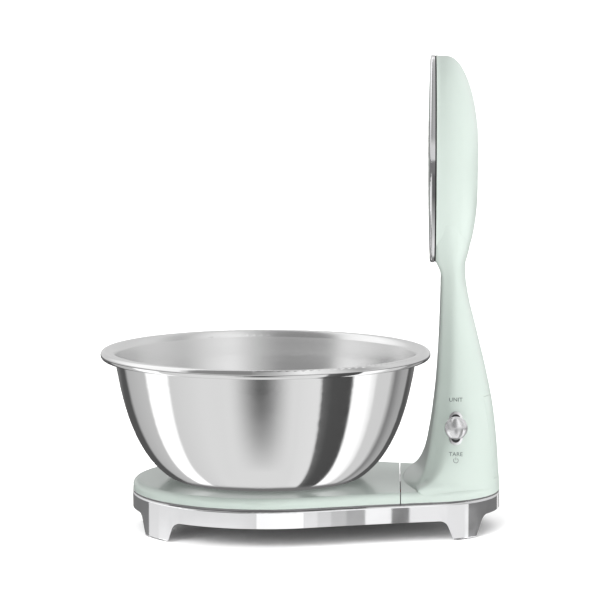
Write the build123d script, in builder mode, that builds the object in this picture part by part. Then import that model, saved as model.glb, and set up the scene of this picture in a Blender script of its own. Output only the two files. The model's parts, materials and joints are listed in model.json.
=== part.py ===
from build123d import *

import os
from collections import namedtuple
from math import cos, radians, sin

# Kitchen scale with a lift-off bowl and a column display, in millimetres.
# +X runs from the bowl to the column, +Z is up, and the origin is on the
# table at the middle of the scale's bounding box.

# ---------------------------------------------------------------- dimensions

# base outline in plan
BOWL_X = -23.8              # bowl axis and centre of the base's round end
BASE_R = 92.0               # radius of the round end
BASE_ARC = 18.0             # degrees past the middle where the flank starts
WAIST = (92.0, 61.0)        # where the flank meets the column's end
WAIST_SLOPE = -0.235
BASE_END = 138.0            # far end of the base
SPLIT_X = 69.5              # line between weighing plate and rear deck
SPLIT_GAP = 0.7
FLANK_PULL = 30.0           # how far each curve of the outline keeps its end's direction
WAIST_PULL = 26.0
END_PULL = (33.0, 0.4)      # at the far end, and how much it shrinks with the inset

# heights
LEG_BOTTOM = 0.6
ARCH_TOP = 14.0
END_ARCH_TOP = 15.0
RING_TOP = 25.1
TRIM_BOTTOM = 25.9
TRIM_TOP = 27.1
PLATE_TOP = 34.0
PLATE_CEILING = 31.0
SHOULDER = 4.0
PLATE_INSET = 0.2           # plate and deck stand this far inside the base ring

# base
RING_WALL = 3.0
LEG_DEPTH = 10.0
LEDGE = 18.2                # leg blocks end here and carry the chassis
CHASSIS_T = 2.0
CHASSIS_TOP = LEDGE + CHASSIS_T
COVER_BOTTOM = 14.6
COVER_T = 1.8
FRONT_ARCH = (-87.6, -83.2, 100.2, 105.6)     # X at floor, top, top, floor
END_ARCH = (44.6, 38.6)                       # half-widths at floor and top
PAD_T = 2.6
PAD_POCKET = 2.0
PAD_MARGIN = 1.8            # rubber to the edge of the leg
PAD_GAP = 0.1
PAD_CORNER = 1.2
TRIM_WIDTH = 2.6
EDGE_ROUND = 0.8
ARCH_ROUND = 6.5
FOOT_ROUND = 2.6
FLARE = 12.0                # how far a foot gap's tool reaches past the floor and the legs

# fasteners
SCREW_R = 1.2
SCREW_HEAD_R = 2.4
SCREW_HEAD_H = 1.4
POST_R = 2.6
CHASSIS_SCREWS = ((-91.2, 52.6), (110.0, 46.5))     # one side, mirrored
COVER_SCREWS = ((-70.0, 34.0), (88.0, 24.0))
COLUMN_SCREWS = ((76.0, 45.0), (124.0, 14.0))
CHASSIS_THREAD = 8.0
COLUMN_THREAD = 8.0
SMALL_SCREW = (0.8, 1.7, 1.1)                       # shank radius, head radius and height
RECESS = (1.2, 0.3)                                 # cross's length and width in head radii

# bowl
BOWL_T = 0.8
BOWL_FOOT_R = 60.5
BOWL_SIDE = ((70.5, 38.5), (81.7, 50.4), (90.8, 66.7), (96.8, 83.3), (101.0, 99.9))
BOWL_NECK = (104.5, 118.74)
BOWL_LEANS = ((1.0, 0.12), (0.19, 1.0))             # wall's direction at its foot and its neck
WALL_POINTS = 9
LIP_FILLET = 4.5
LIP_TURN = -79.2            # degrees, outwards
LIP_FLAT = 2.08
LIP_CURL = 2.2
CURL_TURN = -165.0

# column levels: height, front corner, bow of the front face, widest point, its slope, back
Level = namedtuple("Level", "z corner_x corner_y bow side_x side_y slope back_x")
LEVELS = (
    Level(TRIM_TOP - 4.0, 78.0, 47.0, 7.5, WAIST[0], WAIST[1], WAIST_SLOPE, BASE_END),
    Level(TRIM_TOP, 78.0, 47.0, 7.5, WAIST[0], WAIST[1], WAIST_SLOPE, BASE_END),
    Level(PLATE_TOP, 78.2, 47.0, 7.5, 82.5, 62.4, WAIST_SLOPE, 137.8),
    Level(38.0, 80.9, 46.0, 3.4, 89.5, 57.6, -0.20, 137.5),
    Level(44.0, 84.6, 43.0, 1.6, 96.0, 52.6, -0.12, 137.1),
    Level(53.0, 87.7, 39.0, 0.8, 101.0, 47.8, -0.05, 136.6),
    Level(66.0, 90.0, 33.0, 0.6, 104.0, 42.8, 0.0, 135.5),
    Level(84.0, 92.5, 29.0, 0.6, 106.0, 38.2, 0.0, 133.4),
    Level(108.0, 94.8, 26.0, 0.5, 107.5, 34.0, 0.0, 128.8),
    Level(138.0, 96.3, 23.4, 0.4, 107.0, 29.2, 0.0, 121.6),
    Level(164.0, 97.0, 21.8, 0.3, 106.0, 25.2, 0.0, 115.4),
    Level(176.0, 97.2, 21.4, 0.3, 105.6, 24.0, 0.0, 113.8),
    Level(182.0, 95.2, 21.8, 0.2, 105.0, 24.0, 0.0, 113.7),
    Level(187.0, 93.0, 22.6, 0.1, 104.4, 24.7, 0.0, 114.7),
    Level(194.0, 92.2, 24.4, 0.1, 103.8, 26.6, 0.0, 116.5),
    Level(206.0, 92.2, 29.4, 0.1, 102.4, 31.7, 0.0, 118.9),
    Level(212.0, 92.2, 32.6, 0.1, 101.8, 34.2, 0.0, 119.8),
)
CORNER_R = 4.0
CORNER_INSET = 0.8          # sideways part of the inset at the front corners
CORNER_SHARE = 0.3          # most of the side that a front corner may take
SIDE_PULL = (0.25, 0.3)     # parts of the side's length, at the front corner and the widest point
BACK_PULL = (0.55, 0.57)    # parts of the back's depth and of its half width
SHELL_T = 2.8
NECK_Z = 183.0              # above this the housing ends at the parting plane
BOSS_R = 3.4
BOSS_H = 15.6
RIB_T = 1.6
RIB_Y = 14.8                # ribs that tie the rear bosses to the back wall
SECTION_STEP = 4.0          # height between the column's lofted sections

# platform carrier
CARRIER = (110.0, 100.0, 1.6)
CARRIER_CORNER = 8.0
CARRIER_WINDOW = (30.0, 26.0)
CARRIER_WINDOW_Y = 33.0
PLATFORM_SCREW = (46.0, 41.0)         # from the bowl axis
PLATFORM_THREAD = 1.8
HEAD_POCKET = 1.6
LOADED_SCREW_L = 7.0

# head
FACE_X = 93.2               # parting plane between shell and bezel
HEAD_Z = 255.2
HEAD_A = 71.4               # half height
HEAD_B = 43.0               # half width
HEAD_DEPTH = 29.0
# depth behind the parting plane, top and bottom heights as parts of the half height
HEAD_RINGS = (
    (0.0, 1.0, 1.0), (0.31, 0.985, 0.995), (0.52, 0.928, 0.975), (0.69, 0.815, 0.92),
    (0.80, 0.70, 0.84), (0.89, 0.56, 0.71), (0.95, 0.42, 0.55), (0.985, 0.25, 0.33),
    (0.998, 0.09, 0.12),
)
BEZEL_T = 3.0
BEZEL_BACK = 92.2
BEZEL_ROUND = 1.6
FACE_FRONT = 88.0
FACE_SAG = 1.3              # the face's edge lies this far behind its middle
FACE_BACK = 90.6
GASKET = (0.8, 2.6)         # inset of its outer and inner edge
CARRIER_INSET = 4.2
LENS_SIZE = (44.0, 24.0)
LENS_Z = 270.0
LCD_SIZE = (50.0, 32.0)
LCD_BACK = 93.5
HEAD_BOSS = (24.0, 38.0)
HEAD_BOSS_R = 3.0
HEAD_POINTS = [(i * HEAD_BOSS[0], HEAD_Z + j * HEAD_BOSS[1]) for i in (-1, 1) for j in (-1, 1)]
DISPLAY_SCREW_L = 7.0
BEZEL_DEPTH = 6.0
FACE_STEP = 0.25            # face behind the bezel's front
LENS_STEP = 0.37            # lens behind the bezel's front
WINDOW_ROUND = 2.0
BOARD_POINTS = [(i * 26.5, LENS_Z + j * 15.5) for i in (-1, 1) for j in (-1, 1)]
DISPLAY_PCB = (58.0, 36.0, 1.6)
DISPLAY_PCB_X = 93.7

# lever on the near side of the column
LEVER_SEAT = (107.0, -40.3, 74.5)
LEVER_TILT = 10.5           # the side wall's normal points this far upwards
LEVER_DEPTH = 18.0          # pivot behind the wall
LEVER_REACH = 10.6          # ball centre in front of the wall
BALL_R = 7.75
SLOT_SIZE = (4.8, 15.5)
SLOT_RIM = (9.3, 22.8)
RIM_STAND = 0.8             # bezel stands this far off the wall
RIM_LEVELS = (54.0, 94.0)
SLEEVE = (7.4, 20.6)        # bezel's rear sleeve
SLEEVE_DEPTH = 7.5
ARM_R = 2.0
HUB_R = 2.6
HUB_HALF = 3.1
PIVOT_R = 1.25
PIVOT_PLAY = 0.05
FORK_REACH = (5.8, 9.4)     # slot's start and the fork's end, from the pivot
FORK_HALF = 2.4
FORK_SLOT = 1.15
FORK_T = 1.5
NUB_REACH = 8.2
NUB_R = 0.9
PLAY = 0.3
SLIDER_X = (-13.1, -11.4)
SLIDER_HALF = 1.2
SLIDER_Z = 1.6
STEM = (0.5, 0.9)
CAVITY_HALF = 3.6
MOUTH_HALF = 2.9
SWITCH_X = (-14.4, -10.2)
SWITCH_HALF = 5.5
SWITCH_PCB_HALF = 8.0
CHEEK_T = 0.9
CHEEK_IN = 3.4
CHEEK_HALF = 4.0
BRACKET_FRONT = (10.5, 11.7)
BRACKET_HALF = 13.0
SPRING_SIDE = 3.1
SPRING_R = 3.1
SPRING_WIRE = 0.2
SPRING_TURNS = 2
SPRING_PITCH = 0.42
SPRING_LEG = 2.5

# batteries
CELL_R = 5.25
CELL_H = 44.5
CELL_X = 119.0
CELL_PITCH = 11.0
CELL_COUNT = 4
CELL_FLOOR = 45.0
DOOR_HALF = 23.0
DOOR_X = (113.3, 150.0)
DOOR_Z = (37.0, 94.0)
DOOR_GAP = 0.3
NOTCH = (7.0, 2.2)          # finger notch's radius and depth
TRAY_X = (111.5, 113.3, 121.0)
TRAY_Z = (41.0, 42.5, 92.0, 93.5)
TRAY_HALF = 23.5
TRAY_WALL = 1.2
TRAY_FOOT = (15.0, 3.0)
TRAY_FOOT_X = 117.0
CONTACT_X = (113.8, 121.0)
CONTACT_PAIR = 9.5
CONTACT_ONE = 4.0
BUMP_R = 1.8
COIL_X = 118.6
COIL_R = 3.0
COIL_WIRE = 0.3
COIL_PITCH = 0.75
COIL_TURNS = 2
NUB_H = 1.0
CONTACT_T = 0.4

# boards and wires
BOARD_X = (84.0, 110.0)
BOARD_HALF = 30.0
BOARD_Z = 23.0
BOARD_T = 1.6
BOARD_POSTS = ((88.0, 26.0), (106.0, 26.0))
CHIPS = ((94.0, 4.0, 8.0, 8.0, 1.2), (86.0, -6.0, 4.0, 12.0, 4.5), (100.2, -26.0, 3.0, 8.0, 2.0))
BUZZER = (6.0, 5.0)
BUZZER_AT = (94.0, -16.0)
RIBBON_X = 103.5
RIBBON_T = 0.4
RIBBON_Y = (-4.0, 6.0)
RIBBON_TOP = 262.0
RIBBON_BEND = 3.0
LEAD_YS = (10.0, 13.0)
LEAD_X = 108.0
LEAD_Z = 50.0
LEAD_BEND = 2.5
CABLE_Y = 4.4
WIRE_R = 0.6
CABLE_R = 1.1

# load cell
CELL_BAR = (47.0, 12.0, 6.0)
BAR_BOTTOM = 21.4
BAR_HOLES = (13.0, 19.5)
BAR_EYE = (2.2, 3.5)        # radius and distance from the middle of the weakening holes
BAR_ROUND = 0.5
SPACER = (14.0, 12.0)
STOP_POSTS = ((-64.0, 0.0), (16.0, 0.0), (-24.0, 42.0), (-24.0, -42.0))
STOP_GAP = 0.5

os.makedirs("parts", exist_ok=True)


def save(part, name):
    """Label a finished piece and write its STEP file."""
    part.part.label = name
    export_step(part.part, f"parts/{name}.step")


# ------------------------------------------------------------ shared outlines

def base_outline(inset=0.0):
    """Plan outline of the base, moved inwards; drawn in the current BuildLine."""
    radius = BASE_R - inset
    turn = radians(BASE_ARC)
    start = Vector(BOWL_X + radius * sin(turn), radius * cos(turn))
    along = Vector(cos(turn), -sin(turn))
    flank = Vector(1, WAIST_SLOPE).normalized()
    waist = Vector(*WAIST) - Vector(-flank.Y, flank.X) * inset
    end = Vector(BASE_END - inset, 0)
    pull = Vector(0, END_PULL[0] - END_PULL[1] * inset)
    half = (
        (start, start + along * FLANK_PULL, waist - flank * FLANK_PULL, waist),
        (waist, waist + flank * WAIST_PULL, end + pull, end),
    )
    ThreePointArc((start.X, -start.Y), (BOWL_X - radius, 0), (start.X, start.Y))
    for points in half:
        Bezier(*points)
        Bezier(*[Vector(p.X, -p.Y) for p in points])


def column_outline(level, inset=0.0):
    """Horizontal section of the column; drawn in the current BuildLine."""
    corner = Vector(level.corner_x + inset, level.corner_y - CORNER_INSET * inset)
    side = Vector(level.side_x, level.side_y - inset)
    back = Vector(level.back_x - inset, 0)
    lean = Vector(1, level.slope).normalized()
    towards = (side - corner).normalized()
    span = (side - corner).length
    front = corner - Vector(level.bow * CORNER_R / corner.Y, CORNER_R)
    leave = corner + towards * min(CORNER_R, CORNER_SHARE * span)
    depth = (back.X - side.X) * BACK_PULL[0]
    half = (
        (front, corner, leave),
        (leave, leave + towards * SIDE_PULL[0] * span, side - lean * SIDE_PULL[1] * span, side),
        (side, side + lean * depth, back + Vector(0, BACK_PULL[1] * side.Y), back),
    )
    ThreePointArc((front.X, -front.Y), (corner.X - level.bow, 0), (front.X, front.Y))
    for points in half:
        Bezier(*points)
        Bezier(*[Vector(p.X, -p.Y) for p in points])


def split_side(start, end):
    """Keep the part of the current sketch between two X positions."""
    with Locations(((start + end) / 2, 0)):
        Rectangle(end - start, 3 * BASE_R, mode=Mode.INTERSECT)


def base_face(height, inset, x_range=None):
    """Sketch of the base's outline at one height, whole or between two X positions."""
    with BuildSketch(Plane.XY.offset(height)) as face:
        with BuildLine():
            base_outline(inset)
        make_face()
        if x_range:
            split_side(*x_range)
    return face.sketch


def level_at(height):
    """Column level at any height, by monotone cubic interpolation between LEVELS."""
    zs = [level.z for level in LEVELS]
    steps = [b - a for a, b in zip(zs, zs[1:])]
    k = max(i for i in range(len(steps)) if zs[i] <= height)
    t = (height - zs[k]) / steps[k]
    values = []
    for column in zip(*LEVELS):
        slopes = [(b - a) / h for a, b, h in zip(column, column[1:], steps)]
        middle = [
            3 * (g + h) / ((2 * h + g) / p + (h + 2 * g) / q) if p * q > 0 else 0.0
            for p, q, g, h in zip(slopes, slopes[1:], steps, steps[1:])
        ]
        m = [slopes[0], *middle, slopes[-1]]
        start = (2 * t**3 - 3 * t**2 + 1) * column[k] + (t**3 - 2 * t**2 + t) * steps[k] * m[k]
        end = (3 * t**2 - 2 * t**3) * column[k + 1] + (t**3 - t**2) * steps[k] * m[k + 1]
        values.append(start + end)
    return Level(*values)


def column_faces(inset, bottom=LEVELS[0].z, top=LEVELS[-1].z):
    """Evenly spaced sections of the column between two heights."""
    count = round((top - bottom) / SECTION_STEP)
    faces = []
    for i in range(count + 1):
        height = bottom + (top - bottom) * i / count
        with BuildSketch(Plane.XY.offset(height)) as face:
            with BuildLine():
                column_outline(level_at(height), inset)
            make_face()
        faces.append(face.sketch)
    return faces


def head_faces(inset):
    """Sketches of the head's sections, from the parting plane to the back."""
    faces = []
    for depth, top, bottom in HEAD_RINGS:
        half = (top + bottom) / 2
        x = FACE_X + depth * (HEAD_DEPTH - inset)
        z = HEAD_Z + (top - bottom) / 2 * (HEAD_A - inset)
        with BuildSketch(Plane((x, 0, z), x_dir=(0, 1, 0), z_dir=(1, 0, 0))) as face:
            Ellipse((HEAD_B - inset) * half, (HEAD_A - inset) * half)
        faces.append(face.sketch)
    return faces


def yz_plane(x):
    """Plane facing +X at x, with its own x along +Y and its own y along +Z."""
    return Plane((x, 0, 0), x_dir=(0, 1, 0), z_dir=(1, 0, 0))


UP = (Align.CENTER, Align.CENTER, Align.MIN)
DOWN = (Align.CENTER, Align.CENTER, Align.MAX)


def block(x, y, z, mode=Mode.ADD):
    """Box between two X, two Y and two Z positions, in the current part."""
    with Locations(((x[0] + x[1]) / 2, (y[0] + y[1]) / 2, (z[0] + z[1]) / 2)):
        Box(x[1] - x[0], y[1] - y[0], z[1] - z[0], mode=mode)


def pair(half):
    """The same distance to both sides of zero."""
    return (-half, half)


def mirrored(points):
    """Points on the +Y side together with their mirror images."""
    return [(x, sign * y) for x, y in points for sign in (-1, 1)]


def screw(length, shank_r=SCREW_R, head_r=SCREW_HEAD_R, head_h=SCREW_HEAD_H):
    """Cross-recess screw whose head stands on the current plane."""
    Cylinder(head_r, head_h, align=UP)
    Cylinder(shank_r, length, align=DOWN)
    with Locations((0, 0, head_h)):
        Box(RECESS[0] * head_r, RECESS[1] * head_r, head_h, mode=Mode.SUBTRACT)
        Box(RECESS[1] * head_r, RECESS[0] * head_r, head_h, mode=Mode.SUBTRACT)


PLATFORM_SPAN = (-3 * BASE_R, SPLIT_X - SPLIT_GAP / 2)
DECK_SPAN = (SPLIT_X + SPLIT_GAP / 2, 3 * BASE_R)
LEVER_OUT = Vector(0, -cos(radians(LEVER_TILT)), sin(radians(LEVER_TILT)))
PLATFORM_SCREWS = mirrored([(BOWL_X + sign * PLATFORM_SCREW[0], PLATFORM_SCREW[1]) for sign in (-1, 1)])
CARRIER_BOTTOM = PLATE_CEILING - CARRIER[2]
BAR_TOP = BAR_BOTTOM + CELL_BAR[2]
FIXED_HOLES = [(BOWL_X + x, 0) for x in BAR_HOLES]
LOADED_HOLES = [(BOWL_X - x, 0) for x in BAR_HOLES]
SPACER_X = sum(BAR_HOLES) / 2
SEAT = Vector(*LEVER_SEAT)
PIVOT = SEAT - LEVER_OUT * LEVER_DEPTH


def lever_plane(distance):
    """Plane across the lever, at a distance in front of the wall."""
    return Plane(SEAT + LEVER_OUT * distance, x_dir=(1, 0, 0), z_dir=LEVER_OUT)


# ----------------------------------------------------------------------- bowl


def bowl_profile(depth):
    """Bowl from its axis to the end of the rolled lip, at a depth in the wall; gives both ends."""
    wall = Spline((BOWL_FOOT_R, PLATE_TOP), *BOWL_SIDE, BOWL_NECK, tangents=BOWL_LEANS, mode=Mode.PRIVATE)
    points = []
    for i in range(WALL_POINTS):
        at = i / (WALL_POINTS - 1)
        along = wall % at
        points.append((wall @ at) + Vector(-along.Y, along.X) * depth)
    floor = Line((0, points[0].Y), points[0])
    side = Spline(*points, tangents=BOWL_LEANS)
    turn = JernArc(side @ 1, side % 1, LIP_FILLET + depth, LIP_TURN)
    lip = Line(turn @ 1, (turn @ 1) + (turn % 1) * LIP_FLAT)
    curl = JernArc(lip @ 1, lip % 1, LIP_CURL + depth, CURL_TURN)
    return floor @ 0, curl @ 1


with BuildPart() as bowl:
    with BuildSketch(Plane((BOWL_X, 0, 0), x_dir=(1, 0, 0), z_dir=(0, -1, 0))):
        with BuildLine():
            for outer_end, inner_end in zip(bowl_profile(0.0), bowl_profile(BOWL_T)):
                Line(outer_end, inner_end)
        make_face()
    revolve(axis=Axis((BOWL_X, 0, 0), (0, 0, 1)))
save(bowl, "bowl")

# ----------------------------------------------------------- weighing platform

with BuildPart() as weighing_platform:
    add(base_face(TRIM_TOP, PLATE_INSET, PLATFORM_SPAN))
    extrude(amount=PLATE_TOP - TRIM_TOP)
    rim = weighing_platform.edges().group_by(Axis.Z)[-1]
    fillet(rim - [rim.sort_by(Axis.X)[-1]], radius=SHOULDER)
    add(base_face(TRIM_TOP, PLATE_INSET + RING_WALL, (PLATFORM_SPAN[0], PLATFORM_SPAN[1] - RING_WALL)))
    extrude(amount=PLATE_CEILING - TRIM_TOP, mode=Mode.SUBTRACT)
    with Locations(*[(x, y, PLATE_CEILING) for x, y in PLATFORM_SCREWS]):
        Cylinder(SCREW_R, PLATFORM_THREAD, align=UP, mode=Mode.SUBTRACT)
    with Locations(*[(x, y, PLATE_CEILING) for x, y in LOADED_HOLES]):
        Cylinder(SCREW_HEAD_R + PAD_GAP, HEAD_POCKET, align=UP, mode=Mode.SUBTRACT)
save(weighing_platform, "weighing_platform")


def edge_ring(x_range, cavity_range):
    """Thin bright band that follows the base's edge, in the current part."""
    extrude(base_face(TRIM_BOTTOM, 0.0, x_range), amount=TRIM_TOP - TRIM_BOTTOM)
    cavity = base_face(TRIM_BOTTOM, TRIM_WIDTH, cavity_range)
    extrude(cavity, amount=TRIM_TOP - TRIM_BOTTOM, mode=Mode.SUBTRACT)


with BuildPart() as platform_trim:
    edge_ring(PLATFORM_SPAN, (PLATFORM_SPAN[0], 3 * BASE_R))
save(platform_trim, "platform_trim")

with BuildPart() as deck_trim:
    edge_ring(DECK_SPAN, (-3 * BASE_R, DECK_SPAN[1]))
save(deck_trim, "deck_trim")

with BuildPart() as platform_carrier:
    with Locations((BOWL_X, 0, CARRIER_BOTTOM)):
        Box(*CARRIER, align=UP)
        with Locations(*mirrored([(0, CARRIER_WINDOW_Y)])):
            Box(*CARRIER_WINDOW, CARRIER[2], align=UP, mode=Mode.SUBTRACT)
    fillet(platform_carrier.edges().filter_by(Axis.Z), radius=CARRIER_CORNER / 2)
    with Locations(*[(x, y, CARRIER_BOTTOM) for x, y in PLATFORM_SCREWS + LOADED_HOLES]):
        Cylinder(SCREW_R, CARRIER[2], align=UP, mode=Mode.SUBTRACT)
save(platform_carrier, "platform_carrier")

with BuildPart(Plane((0, 0, CARRIER_BOTTOM), z_dir=(0, 0, -1), x_dir=(1, 0, 0))) as platform_screws:
    with Locations(*PLATFORM_SCREWS):
        screw(CARRIER[2] + PLATFORM_THREAD)
save(platform_screws, "platform_screws")

# -------------------------------------------------------------------- load cell

with BuildPart() as load_cell:
    with Locations((BOWL_X, 0, BAR_BOTTOM)):
        Box(*CELL_BAR, align=UP)
    fillet(load_cell.edges().filter_by(Axis.Z), radius=BAR_ROUND)
    with BuildSketch(Plane.XZ):
        with Locations((BOWL_X, BAR_BOTTOM + CELL_BAR[2] / 2)):
            with GridLocations(2 * BAR_EYE[1], 1, 2, 1):
                Circle(BAR_EYE[0])
            Rectangle(2 * BAR_EYE[1], BAR_EYE[0])
    extrude(amount=CELL_BAR[1], both=True, mode=Mode.SUBTRACT)
    with Locations(*[(x, y, BAR_BOTTOM) for x, y in FIXED_HOLES]):
        Cylinder(SCREW_R, CELL_BAR[2], align=UP, mode=Mode.SUBTRACT)
    with Locations(*[(x, y, BAR_BOTTOM) for x, y in LOADED_HOLES]):
        Cylinder(SCREW_R + PAD_GAP, CELL_BAR[2], align=UP, mode=Mode.SUBTRACT)
save(load_cell, "load_cell")


def spacer(holes, side, bottom, top):
    """Plate between the load cell's end and what it is screwed to."""
    with Locations((BOWL_X + side * SPACER_X, 0, bottom)):
        Box(*SPACER, top - bottom, align=UP)
    with Locations(*[(x, y, bottom) for x, y in holes]):
        Cylinder(SCREW_R, top - bottom, align=UP, mode=Mode.SUBTRACT)


with BuildPart() as load_cell_spacer:
    spacer(FIXED_HOLES, 1, CHASSIS_TOP, BAR_BOTTOM)
save(load_cell_spacer, "load_cell_spacer")

with BuildPart() as platform_spacer:
    spacer(LOADED_HOLES, -1, BAR_TOP, CARRIER_BOTTOM)
save(platform_spacer, "platform_spacer")

with BuildPart(Plane((0, 0, LEDGE), z_dir=(0, 0, -1), x_dir=(1, 0, 0))) as load_cell_screws:
    with Locations(*FIXED_HOLES):
        screw(BAR_TOP - LEDGE - STOP_GAP)
save(load_cell_screws, "load_cell_screws")

with BuildPart(Plane.XY.offset(PLATE_CEILING)) as platform_cell_screws:
    with Locations(*LOADED_HOLES):
        screw(LOADED_SCREW_L)
save(platform_cell_screws, "platform_cell_screws")

# ------------------------------------------------------------------------- base


def leg_areas(margin, height):
    """The four legs' footprints at a height, moved inwards from their edges."""
    front = (FRONT_ARCH[0] - margin, FRONT_ARCH[3] + margin)
    with BuildSketch(Plane.XY.offset(height)) as areas:
        with BuildLine():
            base_outline(margin)
        make_face()
        with BuildLine():
            base_outline(LEG_DEPTH - margin)
        make_face(mode=Mode.SUBTRACT)
        with Locations((sum(front) / 2, 0)):
            Rectangle(front[1] - front[0], 3 * BASE_R, mode=Mode.SUBTRACT)
        Rectangle(6 * BASE_R, 2 * (END_ARCH[0] + margin), mode=Mode.SUBTRACT)
    return areas.sketch


def arch_points(floor, top, height):
    """Corners of a foot gap from its ends at the floor and at the top."""
    return (
        (floor[0] - FLARE, LEG_BOTTOM), (floor[0], LEG_BOTTOM), (top[0], height), (top[1], height),
        (floor[1], LEG_BOTTOM), (floor[1] + FLARE, LEG_BOTTOM),
        (floor[1] + FLARE, -FLARE), (floor[0] - FLARE, -FLARE),
    )


with BuildPart() as base_ring:
    add(base_face(LEG_BOTTOM, 0.0))
    extrude(amount=RING_TOP - LEG_BOTTOM)
    fillet(base_ring.edges().group_by(Axis.Z)[-1], radius=EDGE_ROUND)
    fillet(base_ring.edges().group_by(Axis.Z)[0], radius=EDGE_ROUND)
    add(base_face(LEDGE, RING_WALL))
    extrude(amount=RING_TOP - LEDGE, mode=Mode.SUBTRACT)
    add(base_face(LEG_BOTTOM, LEG_DEPTH))
    extrude(amount=LEDGE - LEG_BOTTOM, mode=Mode.SUBTRACT)
    add(base_face(LEG_BOTTOM, RING_WALL, FRONT_ARCH[1:3]))
    extrude(amount=LEDGE - LEG_BOTTOM, mode=Mode.SUBTRACT)
    with BuildSketch(Plane.XY.offset(LEG_BOTTOM)):
        with BuildLine():
            base_outline(RING_WALL)
        make_face()
        Rectangle(6 * BASE_R, 2 * END_ARCH[1], mode=Mode.INTERSECT)
    extrude(amount=LEDGE - LEG_BOTTOM, mode=Mode.SUBTRACT)
    with BuildSketch(Plane.XZ) as front_arch:
        Polygon(*arch_points(FRONT_ARCH[::3], FRONT_ARCH[1:3], ARCH_TOP), align=None)
        fillet(front_arch.vertices().group_by(Axis.Y)[-1], radius=ARCH_ROUND)
        fillet(front_arch.vertices().group_by(Axis.Y)[1].sort_by(Axis.X)[1:3], radius=FOOT_ROUND)
    extrude(amount=2 * BASE_R, both=True, mode=Mode.SUBTRACT)
    with BuildSketch(Plane.YZ) as end_arch:
        Polygon(*arch_points(pair(END_ARCH[0]), pair(END_ARCH[1]), END_ARCH_TOP), align=None)
        fillet(end_arch.vertices().group_by(Axis.Y)[-1], radius=ARCH_ROUND)
        fillet(end_arch.vertices().group_by(Axis.Y)[1].sort_by(Axis.X)[1:3], radius=FOOT_ROUND)
    extrude(amount=3 * BASE_R, both=True, mode=Mode.SUBTRACT)
    add(leg_areas(PAD_MARGIN - PAD_GAP, LEG_BOTTOM))
    extrude(amount=PAD_POCKET, mode=Mode.SUBTRACT)
    with Locations(*[(x, y, LEDGE) for x, y in mirrored(CHASSIS_SCREWS)]):
        Cylinder(SCREW_R, CHASSIS_THREAD, align=DOWN, mode=Mode.SUBTRACT)
save(base_ring, "base_ring")

with BuildPart() as foot_pads:
    add(leg_areas(PAD_MARGIN, 0.0))
    extrude(amount=PAD_T)
    fillet(foot_pads.edges().filter_by(Axis.Z), radius=PAD_CORNER)
save(foot_pads, "foot_pads")

with BuildPart() as bottom_cover:
    add(base_face(COVER_BOTTOM, LEG_DEPTH + STOP_GAP))
    extrude(amount=COVER_T)
    with Locations(*[(x, y, COVER_BOTTOM) for x, y in mirrored(COVER_SCREWS)]):
        Cylinder(SCREW_R, COVER_T, align=UP, mode=Mode.SUBTRACT)
save(bottom_cover, "bottom_cover")

with BuildPart(Plane((0, 0, COVER_BOTTOM), z_dir=(0, 0, -1), x_dir=(1, 0, 0))) as bottom_cover_screws:
    with Locations(*mirrored(COVER_SCREWS)):
        screw(CHASSIS_TOP - COVER_BOTTOM - STOP_GAP)
save(bottom_cover_screws, "bottom_cover_screws")

with BuildPart() as chassis_plate:
    add(base_face(LEDGE, RING_WALL + PAD_GAP))
    extrude(amount=CHASSIS_T)
    with Locations(*[(x, y, COVER_BOTTOM + COVER_T) for x, y in mirrored(COVER_SCREWS)]):
        Cylinder(POST_R, LEDGE - COVER_BOTTOM - COVER_T, align=UP)
    with Locations(*[(x, y, CHASSIS_TOP) for x, y in mirrored(BOARD_POSTS)]):
        Cylinder(POST_R, BOARD_Z - CHASSIS_TOP, align=UP)
    with Locations(*[(x, y, CHASSIS_TOP) for x, y in STOP_POSTS]):
        Cylinder(POST_R, CARRIER_BOTTOM - STOP_GAP - CHASSIS_TOP, align=UP)
    through = mirrored(CHASSIS_SCREWS + COVER_SCREWS + COLUMN_SCREWS + BOARD_POSTS) + FIXED_HOLES
    with Locations(*[(x, y, COVER_BOTTOM) for x, y in through]):
        Cylinder(SCREW_R, RING_TOP - COVER_BOTTOM, align=UP, mode=Mode.SUBTRACT)
save(chassis_plate, "chassis_plate")

with BuildPart(Plane.XY.offset(CHASSIS_TOP)) as chassis_screws:
    with Locations(*mirrored(CHASSIS_SCREWS)):
        screw(CHASSIS_T + CHASSIS_THREAD)
save(chassis_screws, "chassis_screws")

with BuildPart(Plane((0, 0, LEDGE), z_dir=(0, 0, -1), x_dir=(1, 0, 0))) as column_screws:
    with Locations(*mirrored(COLUMN_SCREWS)):
        screw(CHASSIS_T + COLUMN_THREAD)
save(column_screws, "column_screws")

# --------------------------------------------------------------- column housing


def front_ellipse(inset, x):
    """Ellipse parallel to the head's front edge, facing +X at x."""
    with BuildSketch(Plane((x, 0, HEAD_Z), x_dir=(0, 1, 0), z_dir=(1, 0, 0))) as face:
        Ellipse(HEAD_B - inset, HEAD_A - inset)
    return face.sketch


def lever_oval(size, distance):
    """Upright slot shape across the lever."""
    with BuildSketch(lever_plane(distance)) as face:
        SlotOverall(size[1], size[0], rotation=90)
    return face.sketch


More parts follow.
